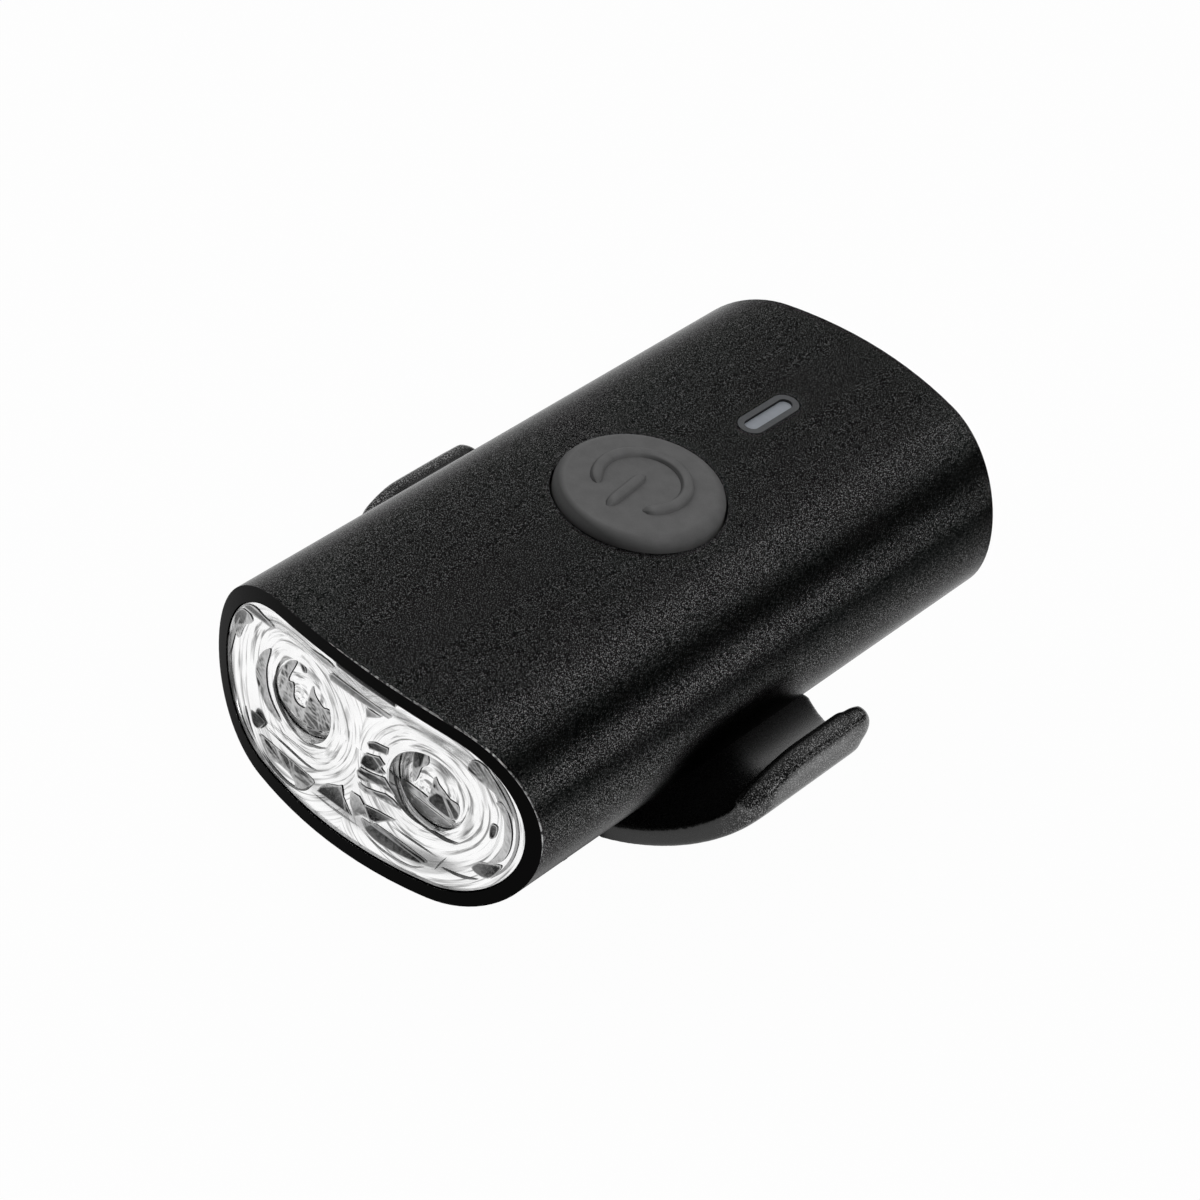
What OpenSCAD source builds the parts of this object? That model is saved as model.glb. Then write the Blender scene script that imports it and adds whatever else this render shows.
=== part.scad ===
// Compact bicycle headlight with two lenses, a top push button and a strap bracket underneath.
// Front faces -Y, the handlebar runs along X, and the part stands on the lips of its saddle pad.

/* [Body] */
// Width of the body
body_w = 42; // [39:0.5:50]
// Height of the body
body_h = 23; // [22:0.5:28]
// Length of the body, front crown to rear crown
body_l = 79.2; // [77:0.2:100]
// Rise of the top and bottom crowns above the round sides
body_crown = 0.5; // [0.3:0.1:1]
// How far the middle of each bowed end stands out
end_bow = 4.2; // [3:0.1:5]
// Wall of the body tube
wall = 1.6; // [1.2:0.1:1.8]
// Clearance of everything that slides into the tube
tube_fit = 0.1; // [0.05:0.01:0.2]

/* [Lens and optics] */
// Thickness of the clear lens cover
cover_t = 1.5; // [1:0.1:2]
// How far the lens cover and the rear cap lie below the tube's ends
end_recess = 0.15; // [0.1:0.05:0.4]
// Width of the seal round the lens cover
lens_seal_w = 0.7; // [0.5:0.1:1]
// Thickness of that seal, front to back
lens_seal_t = 0.7; // [0.5:0.1:0.9]
// Depth from the front crown to the back of the optic tray
optic_depth = 14.2; // [13.8:0.1:15.4]
// Distance between the two lens axes
lens_pitch = 16.3; // [16.2:0.1:17]
// Diameter of each collimator
lens_d = 15.4; // [14.6:0.1:15.5]
// Diameter of the ball-like middle of each collimator
dome_d = 7.4; // [6:0.1:8]
// Height of that middle above its well
dome_h = 2.3; // [1.8:0.1:2.6]
// Gap between the lens cover and the top of each middle
dome_gap = 0.6; // [0.4:0.1:1.2]
// Rim thickness of each collimator
lens_rim_t = 0.8; // [0.6:0.1:1.2]
// Clearance of the collimators in the tray
lens_fit = 0.15; // [0.1:0.05:0.2]
// Number of ribs between the lenses
rib_count = 5; // [3:1:6]
// Thickness of each rib
rib_t = 0.5; // [0.4:0.1:0.7]
// Depth of the recesses in the tray's face
tray_recess = 2.2; // [1.5:0.1:2.6]
// Side of each square light source
led_w = 3.5; // [3:0.1:4]
// Height of each light source over its board
led_h = 0.7; // [0.5:0.1:0.9]

/* [Inside] */
// Thickness of the light source board
led_board_t = 1.2; // [0.8:0.1:1.6]
// Thickness of the heat sink plate
heat_sink_t = 3.5; // [2.5:0.1:4]
// Room beside the battery, from its side to the body's side
battery_side = 7; // [6.8:0.1:9]
// Thickness of the battery
battery_t = 9.6; // [8:0.1:10]
// Room behind the battery, up to the charging socket
battery_end = 2.8; // [1:0.1:6]
// Chassis floor under the battery
chassis_floor = 2; // [1.9:0.1:2.3]
// Clearance round the battery
battery_fit = 0.3; // [0.2:0.05:0.4]
// Width of the main board
board_w = 26; // [22:0.5:30]
// Thickness of the main board
board_t = 1.2; // [0.8:0.1:1.6]
// Side of the square switch
switch_w = 6; // [5:0.1:6.5]
// Height of the switch over the board
switch_h = 3; // [2.6:0.1:3.4]
// Diameter of the switch stem
stem_d = 3.4; // [2.5:0.1:3.6]

/* [Button and indicator] */
// Diameter of the push button
button_d = 17.4; // [14:0.1:18]
// Place of the button's centre along the body
button_y = 0.6; // [-4:0.1:4]
// Height of the button above the body
button_rise = 1.2; // [1:0.1:2.2]
// Rounding of the button's edge
button_edge = 1.2; // [0.6:0.1:1.4]
// Travel of the button
button_travel = 0.8; // [0.4:0.1:1]
// Clearance round the button and under the tube's wall
button_fit = 0.25; // [0.2:0.05:0.3]
// Length of the indicator frame
indicator_l = 8.4; // [7:0.1:10]
// Width of the indicator frame
indicator_w = 3; // [2.6:0.1:3.6]
// Wall of the indicator frame
indicator_wall = 0.7; // [0.5:0.05:0.8]
// Distance of the indicator's centre from the rear crown
indicator_back = 18.4; // [16:0.1:21]
// How far the indicator's window lies below the body
window_recess = 0.3; // [0.2:0.05:0.6]

/* [Rear end] */
// Thickness of the rear cap at its middle
rear_cap_t = 7.4; // [7:0.1:8]
// Width of the charging port's cover
port_cover_w = 15; // [12:0.1:16]
// Height of the charging port's cover
port_cover_h = 8; // [7:0.1:9]
// Depth of the recess that holds the cover
port_recess = 2.2; // [1.8:0.1:2.4]
// Clearance round the cover
port_fit = 0.25; // [0.2:0.05:0.35]
// Width of the charging socket
socket_w = 8.9; // [8.9:0.1:9.4]
// Height of the charging socket
socket_h = 3.2; // [3.2:0.1:3.4]
// Length of the charging socket
socket_l = 7.3; // [6.5:0.1:7.6]
// Wall between the battery's bay and the rear screws
rear_screw_wall = 1; // [0.8:0.1:1.2]
// Diameter of the rear screws
rear_screw_d = 2; // [1.6:0.1:2.2]

/* [Bracket] */
// Place of the bracket's middle along the body
bracket_y = 1.2; // [-4:0.1:4]
// Gap between the body's side and each hook
hook_gap = 4.2; // [4.2:0.1:8]
// Thickness of the hook tabs
hook_t = 2.4; // [2.2:0.05:2.6]
// Distance of the hook tops below the body's middle
hook_drop = 2.4; // [1:0.1:3]
// Rounding of the hook tops
hook_round = 1.5; // [0.8:0.1:1.7]
// Thickness of the bracket's plate and wings
plate_t = 2.4; // [2.2:0.1:3]
// Gap between the body and the bracket's plate
plate_gap = 2.9; // [2.6:0.1:4]
// Distance over which the wings bend up, seen from the front
bend_reach = 16.4; // [15:0.1:17]
// Inner radius of the wings' bend
bend_r = 15.9; // [15.7:0.1:17]
// Length of the bracket's plate along the body
plate_l = 31; // [30:0.5:36]
// Reach of the hooks' front corners from the bracket's middle, before they are rounded
hook_front = 10; // [9:0.1:11]
// Reach of the hooks' back corners from the bracket's middle, before they are rounded
hook_back = 5.8; // [5:0.1:6.5]
// Width of the straight part of the wings' back edges
back_step = 1.5; // [1:0.1:3]
// Rounding of the hooks' front corners, seen from above
hook_corner = 3.4; // [2:0.1:4]
// Rounding of the hooks' back corners, seen from above
back_corner = 1.2; // [0.8:0.1:1.6]
// Rounding of the hooks' front shoulders, seen from the side
hook_shoulder = 9; // [8:0.1:10]
// Place ahead of the bracket's middle where those shoulders start
shoulder_y = 3.5; // [3:0.1:4.5]
// Rounding of the hooks' back ends, seen from the side
back_shoulder = 2.4; // [1.5:0.1:3]
// Length of the block that carries the body
block_l = 20; // [18:0.5:24]
// Width of that block
block_w = 18; // [14:0.5:18]
// Depth of the flat seat in the body under that block
seat_depth = 0.4; // [0.4:0.05:0.5]
// Distance between the bracket screws
bracket_screw_pitch = 12; // [10:0.1:13]
// Diameter of the bracket screws
bracket_screw_d = 3; // [2.5:0.1:3]

/* [Saddle] */
// Radius of the handlebar that the pad fits
bar_r = 12.7; // [11.1:0.1:15.9]
// Share of the bar's circle that the pad reaches round, in degrees
bar_wrap = 134; // [130:1:150]
// Pad thickness over the top of the bar
pad_t = 1.6; // [1.2:0.1:2.5]
// Width of the pad's flange under the bracket
pad_flange_w = 22.8; // [20:0.1:24]
// Thickness of that flange
pad_flange_t = 1.1; // [0.8:0.1:1.2]
// Width of the pad on the bar
pad_w = 15; // [13:0.1:18]
// Width of each lip's foot
pad_lip_t = 1; // [0.9:0.1:2]
// Rounding of each lip's outer edge
pad_round = 0.6; // [0.3:0.1:0.8]
// Diameter of the pad's pegs
peg_d = 2.8; // [2:0.1:3.2]
// Distance between the pegs
peg_pitch = 13; // [12:0.1:15]
// Height of the pegs
peg_h = 1.4; // [1:0.1:1.6]

/* [Hidden] */
$fn = 96;

// Section of the tube: round sides joined by shallow crowns
half_h = body_h / 2;
side_r = half_h - body_crown;
side_x = body_w / 2 - side_r;
crown_r = (side_x * side_x + half_h * half_h - side_r * side_r) / (2 * body_crown);
crown_drop = crown_r - half_h;
crown_angle = atan2(side_x, crown_drop);
bore_o = -(wall + tube_fit);
inner_h = half_h - wall;

// Bowed ends
bow_r = (body_w * body_w / 4 + end_bow * end_bow) / (2 * end_bow);
front_y = -body_l / 2;
rear_y = body_l / 2;
front_axis = front_y + bow_r;
rear_axis = rear_y - bow_r;
reach = 2 * body_l;

// Saddle and bracket, stacked from the pad's lips up to the body's middle
lip_depth = bar_r * (1 - cos(bar_wrap / 2));
pad_h = lip_depth + pad_t;
pad_half_l = bar_r * sin(bar_wrap / 2) + pad_lip_t;
body_z = pad_h + plate_t + plate_gap + half_h;
plate_top = -(half_h + plate_gap);
plate_bottom = plate_top - plate_t;
pad_bottom = plate_bottom - pad_h;
bar_z = pad_bottom + lip_depth - bar_r;
bend_z = plate_top + bend_r;
hook_out = body_w / 2 + hook_gap + hook_t;
bend_x = hook_out - bend_reach;
hook_in = hook_out - hook_t;
flank_x = bend_x + plate_t;
back_x = flank_x + back_step;
front_flank = atan2(plate_l / 2 - hook_front, hook_out - flank_x);
back_flank = atan2(plate_l / 2 - hook_back, hook_out - back_x);
round_lead = 0.1;
seat_z = -half_h + seat_depth;
screw_clear = 0.1;
head_share = 0.9;
head_h_share = 0.55;
hex_share = 0.45;
screw_head_r = bracket_screw_d * head_share;
screw_head_h = bracket_screw_d * head_h_share;
boss_h = 1.5;
peg_fit = 0.1;

// Depths of the front pieces
cover_front_r = bow_r - end_recess;
cover_back_r = cover_front_r - cover_t;
tray_gap = 0.3;
tray_front_r = cover_back_r - tray_gap;
tray_back = front_y + optic_depth;
lens_x = lens_pitch / 2;
lens_r = lens_d / 2;
dome_r = dome_d / 2;
dome_front = front_axis - sqrt(pow(cover_back_r, 2) - pow(lens_x + dome_r / 2, 2)) + dome_gap;
well_floor = tray_back - dome_front - dome_h;
well_share = 0.4;
lens_face = well_floor + dome_h * well_share;
lens_shoulder = lens_face - lens_rim_t;
led_room = 0.4;
lens_foot = led_h + led_room;
flank_steps = 8;
well_w = 0.9;
well_r = dome_r + well_w;
dome_ball = (dome_r * dome_r + dome_h * dome_h) / (2 * dome_h);
source_share = 0.8;
source_r = led_w * source_share;
source_depth = 2.4;
foot_w = 0.6;
foot_r = source_r + foot_w;
pocket_share = 0.86;
led_board_back = tray_back + led_board_t;
heat_sink_back = led_board_back + heat_sink_t;

// Inside stack
rear_cap_front = rear_y - rear_cap_t;
battery_w = body_w - 2 * battery_side;
battery_z = -inner_h + tube_fit + chassis_floor;
end_gap = 0.8;
battery_front = heat_sink_back + end_gap;
port_floor = rear_y - port_recess;
port_step = 1.2;
socket_front = port_floor - port_step - socket_l;
battery_l = socket_front - battery_end - battery_front;
board_z = battery_z + battery_t + battery_fit;
board_top = board_z + board_t;
board_front = heat_sink_back + end_gap;
board_back = rear_cap_front - battery_fit;
stem_sink = 1.1;
stem_clear = 0.15;
button_r = button_d / 2;
flange_w = 1.3;
flange_r = button_r + flange_w;
flange_t = 0.9;
flange_z = sqrt(pow(crown_r - wall, 2) - flange_r * flange_r) - crown_drop - button_fit;
button_top = half_h + button_rise;
indicator_y = rear_y - indicator_back;
button_skin = 1.6;
post_wall = 0.5;
post_r = stem_d / 2 + post_wall;
stem_rise = 1.2;
post_low = board_top + switch_h + stem_rise;

// Rear end
port_z = board_z - socket_h / 2;
port_swing = sqrt(pow(port_cover_h, 2) + pow(port_recess, 2)) - port_cover_h;
port_low = port_z - port_cover_h / 2;
port_bay_w = socket_w + 2 * battery_fit;
port_bay_h = socket_h + 2 * battery_fit;
rear_screw_r = rear_screw_d / 2;
rear_screw_pitch = battery_w + 2 * (battery_fit + rear_screw_wall) + rear_screw_d;
rear_head_r = rear_screw_d * head_share;
rear_head_h = 1.2;
rear_head_sink = 0.3;
rear_head_x = rear_screw_pitch / 2 + rear_head_r;
rear_head_y = rear_axis + sqrt(pow(bow_r, 2) - pow(rear_head_x, 2)) - rear_head_h - rear_head_sink;
rear_screw_l = 12;
rear_seal_y = rear_cap_front + 1;
rear_seal_w = 1.2;
rear_seal_d = 0.9;
nail_r = 1.8;
core_w = 4;
core_x = port_bay_w / 2 + wall + core_w / 2;
core_depth = 3;
nub_h = 2;
nub_depth = 0.8;
cover_seat = 0.1;

// Flat shapes: x runs across the body and y runs up

// Tube section, grown by o
module oval(o) {
    k = side_r + o + 2 * body_crown;
    kx = side_x + k * sin(crown_angle);
    kz = k * cos(crown_angle);
    intersection() {
        translate([0, -crown_drop]) circle(crown_r + o, $fn = 240);
        translate([0, crown_drop]) circle(crown_r + o, $fn = 240);
        polygon([[side_x, 0], [kx, kz], [-kx, kz], [-side_x, 0], [-kx, -kz], [kx, -kz]]);
    }
    for (s = [-1, 1]) translate([s * side_x, 0]) circle(side_r + o);
}

module oval_ring(outer, inner) {
    difference() {
        oval(outer);
        oval(inner);
    }
}

module stadium(length, width) {
    square([width, length - width], center = true);
    for (s = [-1, 1]) translate([0, s * (length - width) / 2]) circle(width / 2);
}

// Solid helpers

module at_body() {
    translate([0, 0, body_z]) children();
}

// A flat shape stretched along the body from y0 to y1
module along(y0, y1) {
    translate([0, y1, 0]) rotate([90, 0, 0]) linear_extrude(y1 - y0) children();
}

// A turned shape with its axis along the body, pointing to the front from y
module turned(x, y) {
    translate([x, y, 0]) rotate([90, 0, 0]) rotate_extrude() children();
}

module upright(radius, axis_y) {
    translate([0, axis_y, -reach / 2]) cylinder(r = radius, h = reach, $fn = 240);
}

module front_bow(radius) {
    upright(radius, front_axis);
}

module rear_bow(radius) {
    upright(radius, rear_axis);
}

// Body

module housing() {
    color("#1b1c1e") at_body() difference() {
        union() {
            intersection() {
                along(-reach / 2, reach / 2) oval_ring(0, -wall);
                front_bow(bow_r);
                rear_bow(bow_r);
            }
            for (s = [-1, 1])
                translate([0, bracket_y + s * bracket_screw_pitch / 2, -inner_h - wall / 2])
                    cylinder(r = screw_head_r, h = boss_h + wall / 2);
        }
        translate([0, button_y, 0]) cylinder(r = button_r + button_fit, h = body_h);
        translate([0, indicator_y, 0]) linear_extrude(body_h)
            stadium(indicator_l + 2 * tube_fit, indicator_w + 2 * tube_fit);
        translate([-body_w / 2, bracket_y - block_l / 2 - tube_fit, seat_z - body_h])
            cube([body_w, block_l + 2 * tube_fit, body_h]);
        for (s = [-1, 1])
            translate([0, bracket_y + s * bracket_screw_pitch / 2, -body_h])
                cylinder(d = bracket_screw_d + screw_clear, h = body_h);
    }
}

// Front end

// Bowed slice of the front end between two radii, with the outline of the tube grown by o
module front_slice(outer, inner, o) {
    intersection() {
        along(front_y - wall, 0) oval(o);
        difference() {
            front_bow(outer);
            front_bow(inner);
        }
    }
}

// The cover is stepped at its back edge to hold the seal
module lens_cover() {
    color("#dfe6ea", 0.4) at_body() {
        front_slice(cover_front_r, cover_back_r + lens_seal_t, bore_o);
        front_slice(cover_front_r, cover_back_r, bore_o - lens_seal_w);
    }
}

module lens_gasket() {
    color("#151515") at_body() difference() {
        front_slice(cover_back_r + lens_seal_t, cover_back_r, bore_o);
        along(front_y - wall, 0) oval(bore_o - lens_seal_w);
    }
}

// Flank of a collimator, grown by o: radius outwards, height towards the front from the tray's back
function lens_flank(o) = [for (i = [0:flank_steps]) let (t = i / flank_steps)
    [foot_r + (lens_r - foot_r) * sqrt(t) + o, lens_foot + (lens_shoulder - lens_foot) * t]];

// Half section of a collimator: a flared flank, a front well with a ball in it, a hollow for the source
module collimator_section() {
    difference() {
        polygon(concat([[0, lens_foot]], lens_flank(0), [[lens_r, lens_face], [0, lens_face]]));
        translate([0, well_floor]) square([well_r, lens_face]);
        translate([0, lens_foot]) square([source_r, source_depth]);
    }
    intersection() {
        translate([0, well_floor + dome_h - dome_ball]) circle(dome_ball);
        translate([0, well_floor - lens_rim_t]) square([dome_r, dome_h + lens_rim_t]);
    }
}

// Half section of the hole that takes a collimator, with the ring that its foot stands on
module cup_section() {
    polygon(concat([[0, -lens_fit], [source_r, -lens_fit], [source_r, lens_foot]], lens_flank(lens_fit),
        [[lens_r + lens_fit, optic_depth], [0, optic_depth]]));
}

module collimator(s) {
    color("#eef3f6", 0.5) at_body() turned(s * lens_x, tray_back) collimator_section();
}

module left_collimator() {
    collimator(-1);
}

module right_collimator() {
    collimator(1);
}

// Space between the two lens cups, below them for s = -1 and above them for s = 1
module valley(s) {
    difference() {
        translate([-lens_x / 2, s > 0 ? lens_x / 4 : -inner_h + 2 * wall])
            square([lens_x, inner_h - 2 * wall - (s > 0 ? lens_x / 4 : lens_x / 8)]);
        for (side = [-1, 1]) translate([side * lens_x, 0]) circle(lens_r + lens_fit + rib_t);
    }
}

// Pocket under a lens: flat on top and curved like the tube below
module low_pocket() {
    intersection() {
        oval(bore_o - 2 * rib_t);
        translate([0, -body_h - lens_r * pocket_share]) square([body_w, 2 * body_h], center = true);
        translate([lens_x, 0]) square([lens_r, body_h], center = true);
    }
}

// Crescent beside the outer edge of a lens
module end_crescent() {
    difference() {
        oval(bore_o - 2 * rib_t);
        translate([lens_x, 0]) circle(lens_r + lens_fit + rib_t);
        translate([-body_w / 2, -body_h]) square([body_w / 2 + lens_x + lens_r / 2, 2 * body_h]);
    }
}

module tray_face(depth) {
    difference() {
        front_bow(reach / 2);
        front_bow(tray_front_r - depth);
    }
}

module optic_tray() {
    rib_pitch = (inner_h - 2 * wall - lens_x / 8) / (rib_count + 1);
    color("#c9ccd0") at_body() difference() {
        intersection() {
            along(front_y, tray_back) oval(bore_o);
            front_bow(tray_front_r);
        }
        for (s = [-1, 1]) turned(s * lens_x, tray_back) cup_section();
        intersection() {
            tray_face(tray_recess);
            along(front_y, tray_back) {
                valley(1);
                for (s = [0, 1]) mirror([s, 0]) {
                    low_pocket();
                    end_crescent();
                }
                difference() {
                    valley(-1);
                    for (i = [1:rib_count])
                        translate([-lens_x / 2, -inner_h + 2 * wall + i * rib_pitch - rib_t / 2])
                            square([lens_x, rib_t]);
                }
            }
        }
    }
}

module leds() {
    color("#e9d98a") at_body() for (s = [-1, 1])
        translate([s * lens_x - led_w / 2, tray_back - led_h, -led_w / 2]) cube([led_w, led_h, led_w]);
}

module led_board() {
    color("#f2f2ee") at_body() along(tray_back, led_board_back) difference() {
        oval(bore_o - wall);
        circle(d = bracket_screw_d);
    }
}

module heat_sink() {
    color("#a7a9ac") at_body() along(led_board_back, heat_sink_back) difference() {
        oval(bore_o);
        circle(d = bracket_screw_d);
    }
}

// Inside

module chassis() {
    groove_l = bracket_y + bracket_screw_pitch / 2 + 2 * screw_head_r - heat_sink_back;
    color("#3a3d40") at_body() difference() {
        along(heat_sink_back, rear_cap_front) intersection() {
            oval(bore_o);
            translate([-body_w / 2, board_z - body_h]) square([body_w, body_h]);
        }
        translate([-battery_w / 2 - battery_fit, battery_front - battery_fit, battery_z])
            cube([battery_w + 2 * battery_fit, battery_l + 2 * battery_fit, body_h]);
        translate([-screw_head_r - battery_fit, heat_sink_back, -body_h])
            cube([2 * (screw_head_r + battery_fit), groove_l, body_h - inner_h + boss_h + tube_fit]);
        translate([-port_bay_w / 2, rear_cap_front - socket_l, board_z - socket_h - battery_fit])
            cube([port_bay_w, socket_l, body_h]);
        for (s = [-1, 1])
            translate([s * rear_screw_pitch / 2, rear_cap_front, 0]) rotate([90, 0, 0])
                cylinder(d = rear_screw_d + screw_clear, h = rear_screw_l);
    }
}

module battery() {
    color("#c8b26a") at_body() translate([-battery_w / 2, battery_front, battery_z])
        cube([battery_w, battery_l, battery_t]);
}

module main_board() {
    color("#1f6b3a") at_body() translate([-board_w / 2, board_front, board_z])
        cube([board_w, board_back - board_front, board_t]);
}

// Driver coil, its capacitor and the charging chip
module board_parts() {
    coil_d = 6;
    coil_h = 2.6;
    chip_w = 5;
    chip_h = 1.1;
    at_body() translate([0, 0, board_top]) {
        color("#4a4a4a") translate([-board_w / 4, board_front + coil_d, 0]) cylinder(d = coil_d, h = coil_h);
        color("#b08d57") translate([board_w / 4 - chip_w / 2, board_front + coil_d, 0])
            cube([chip_w, chip_w / 2, coil_h / 2]);
        color("#222222") translate([board_w / 4 - chip_w / 2, indicator_y - chip_w, 0])
            cube([chip_w, chip_w, chip_h]);
    }
}

module switch_body() {
    color("#2a2a2a") at_body() translate([0, button_y, board_top]) difference() {
        translate([-switch_w / 2, -switch_w / 2, 0]) cube([switch_w, switch_w, switch_h]);
        translate([0, 0, switch_h - stem_sink - button_travel - stem_clear])
            cylinder(d = stem_d + 2 * stem_clear, h = switch_h);
    }
}

module switch_stem() {
    low = board_top + switch_h - stem_sink;
    color("#d8d2c4") at_body() translate([0, button_y, low]) cylinder(d = stem_d, h = post_low - low);
}

// Half section of the push button
module button_section() {
    difference() {
        union() {
            translate([0, flange_z - flange_t]) square([flange_r, flange_t]);
            translate([0, flange_z - flange_t])
                square([button_r, button_top - button_edge - flange_z + flange_t]);
            square_top = button_top - button_edge;
            translate([0, square_top]) square([button_r - button_edge, button_edge]);
            intersection() {
                translate([button_r - button_edge, square_top]) circle(button_edge);
                translate([0, square_top]) square([button_r, button_edge]);
            }
        }
        translate([0, flange_z - 2 * flange_t])
            square([button_r - button_skin, button_top - button_skin - flange_z + 2 * flange_t]);
    }
    translate([0, post_low]) square([post_r, button_top - button_skin / 2 - post_low]);
}

module power_button() {
    color("#55585c") at_body() translate([0, button_y, 0]) rotate_extrude() button_section();
}

module indicator_frame() {
    lip = 1;
    lip_top = inner_h - tube_fit;
    inner_l = indicator_l - 2 * indicator_wall;
    inner_w = indicator_w - 2 * indicator_wall;
    color("#6d7175") at_body() translate([0, indicator_y, 0]) difference() {
        union() {
            translate([0, 0, lip_top - lip]) linear_extrude(half_h - lip_top + lip)
                stadium(indicator_l, indicator_w);
            translate([0, 0, lip_top - lip]) linear_extrude(lip)
                stadium(indicator_l + 2 * lip, indicator_w + 2 * lip);
        }
        linear_extrude(body_h) stadium(inner_l, inner_w);
    }
}

module indicator_window() {
    play = 0.05;
    low = board_top + stem_rise;
    inner_l = indicator_l - 2 * (indicator_wall + play);
    inner_w = indicator_w - 2 * (indicator_wall + play);
    color("#9aa7b5") at_body() translate([0, indicator_y, low])
        linear_extrude(half_h - window_recess - low) stadium(inner_l, inner_w);
}

module indicator_leds() {
    count = 3;
    pitch = 2;
    size = 1;
    color("#f3f0d8") at_body() for (i = [0:count - 1])
        translate([-size / 2, indicator_y + (i - (count - 1) / 2) * pitch - size / 2, board_top])
            cube([size, size, size]);
}

// Rear end

module usb_socket() {
    shell = 0.3;
    tongue = 0.7;
    inset = 1;
    color("#b9bcc0") at_body() translate([0, socket_front, port_z]) {
        difference() {
            translate([-socket_w / 2, 0, -socket_h / 2]) cube([socket_w, socket_l, socket_h]);
            translate([-socket_w / 2 + shell, inset, -socket_h / 2 + shell])
                cube([socket_w - 2 * shell, socket_l, socket_h - 2 * shell]);
        }
        translate([-socket_w / 2 + inset, shell, -tongue / 2])
            cube([socket_w - 2 * inset, socket_l - inset, tongue]);
    }
}

module rear_cap() {
    color("#242527") at_body() difference() {
        intersection() {
            along(rear_cap_front, rear_y) oval(bore_o);
            rear_bow(bow_r - end_recess);
        }
        along(rear_seal_y, rear_seal_y + rear_seal_w) oval_ring(0, bore_o - rear_seal_d);
        translate([-port_cover_w / 2 - port_fit, port_floor, port_low - port_fit])
            cube([port_cover_w + 2 * port_fit, port_recess, port_cover_h + 2 * port_fit + port_swing]);
        translate([-port_bay_w / 2, rear_cap_front - wall, port_z - port_bay_h / 2])
            cube([port_bay_w, rear_cap_t, port_bay_h]);
        translate([0, rear_y, port_z + port_cover_h / 2]) sphere(nail_r);
        for (s = [-1, 1]) translate([s * rear_screw_pitch / 2, 0, 0]) {
            along(rear_cap_front - wall, rear_y) circle(d = rear_screw_d + screw_clear);
            along(rear_head_y, rear_y) circle(rear_head_r + screw_clear);
        }
        for (s = [-1, 1]) translate([s * core_x, 0, 0])
            along(rear_cap_front - wall, rear_cap_front + core_depth)
                square([core_w, port_cover_h], center = true);
    }
}

module rear_gasket() {
    color("#111111") at_body() along(rear_seal_y, rear_seal_y + rear_seal_w)
        oval_ring(-wall - tube_fit / 4, bore_o - rear_seal_d);
}

module rear_screws() {
    slot_r = rear_screw_d * hex_share;
    color("#8d9095") at_body() for (s = [-1, 1]) translate([s * rear_screw_pitch / 2, 0, 0]) {
        along(rear_head_y - rear_screw_l, rear_head_y) circle(rear_screw_r);
        difference() {
            along(rear_head_y, rear_head_y + rear_head_h) circle(rear_head_r);
            along(rear_head_y + rear_head_h / 2, rear_y) circle(slot_r, $fn = 6);
        }
    }
}

module usb_cover() {
    color("#2d2f31") at_body() intersection() {
        union() {
            translate([-port_cover_w / 2, port_floor + cover_seat, port_low])
                cube([port_cover_w, port_recess, port_cover_h]);
            translate([-socket_w / 2 + wall / 2, port_floor - nub_depth, port_z - nub_h / 2])
                cube([socket_w - wall, nub_depth + port_recess / 2, nub_h]);
        }
        rear_bow(bow_r - end_recess);
    }
}

// Bracket

// Quarter plane below and right of a point, less a circle about it: what is cut off to round a corner
module corner_cut(radius) {
    difference() {
        translate([0, -2 * radius]) square(2 * radius);
        circle(radius);
    }
}

// Section of the bracket across the body: a flat plate with wings that bend up into hooks
module bracket_section() {
    difference() {
        translate([-hook_out, plate_bottom]) square([2 * hook_out, -hook_drop - plate_bottom]);
        for (s = [0, 1]) mirror([s, 0]) {
            translate([bend_x, bend_z]) corner_cut(bend_r + plate_t);
            translate([hook_in + hook_round, -hook_drop - hook_round]) rotate(180) corner_cut(hook_round);
        }
        difference() {
            translate([-hook_in, plate_top]) square([2 * hook_in, body_h]);
            for (s = [0, 1]) mirror([s, 0]) translate([bend_x, bend_z]) corner_cut(bend_r);
        }
    }
}

// Piece cut off the bracket's outline to round a flank into a hook's face
module flank_cut(flank, half_l, radius) {
    centre_x = hook_out + round_lead - radius;
    line = hook_out * sin(flank) + half_l * cos(flank) + round_lead;
    centre_y = (line - radius - centre_x * sin(flank)) / cos(flank);
    translate([centre_x, centre_y]) difference() {
        polygon([[0, 0], [2 * radius, 0], [2 * radius, 2 * radius],
            [2 * radius * sin(flank), 2 * radius * cos(flank)]]);
        circle(radius);
    }
}

// Outline of the bracket from above, tapered to the hooks with corners that round into their faces
module bracket_plan() {
    edge_x = hook_out + 2 * round_lead;
    front_edge = hook_front - 2 * round_lead * tan(front_flank);
    back_edge = hook_back - 2 * round_lead * tan(back_flank);
    difference() {
        polygon([[edge_x, -front_edge], [edge_x, back_edge], [back_x, plate_l / 2], [-back_x, plate_l / 2],
            [-edge_x, back_edge], [-edge_x, -front_edge], [-flank_x, -plate_l / 2], [flank_x, -plate_l / 2]]);
        for (s = [0, 1]) mirror([s, 0]) {
            flank_cut(back_flank, hook_back, back_corner);
            mirror([0, 1]) flank_cut(front_flank, hook_front, hook_corner);
        }
    }
}

// Corners that are cut off the hooks, seen from the side, to round their shoulders
module shoulder_cut() {
    back = hook_back + hook_t * tan(back_flank);
    translate([back - back_shoulder, round_lead - hook_drop - back_shoulder]) rotate(90)
        corner_cut(back_shoulder);
    mirror([1, 0]) translate([shoulder_y, round_lead - hook_drop - hook_shoulder]) rotate(90)
        corner_cut(hook_shoulder);
}

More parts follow.
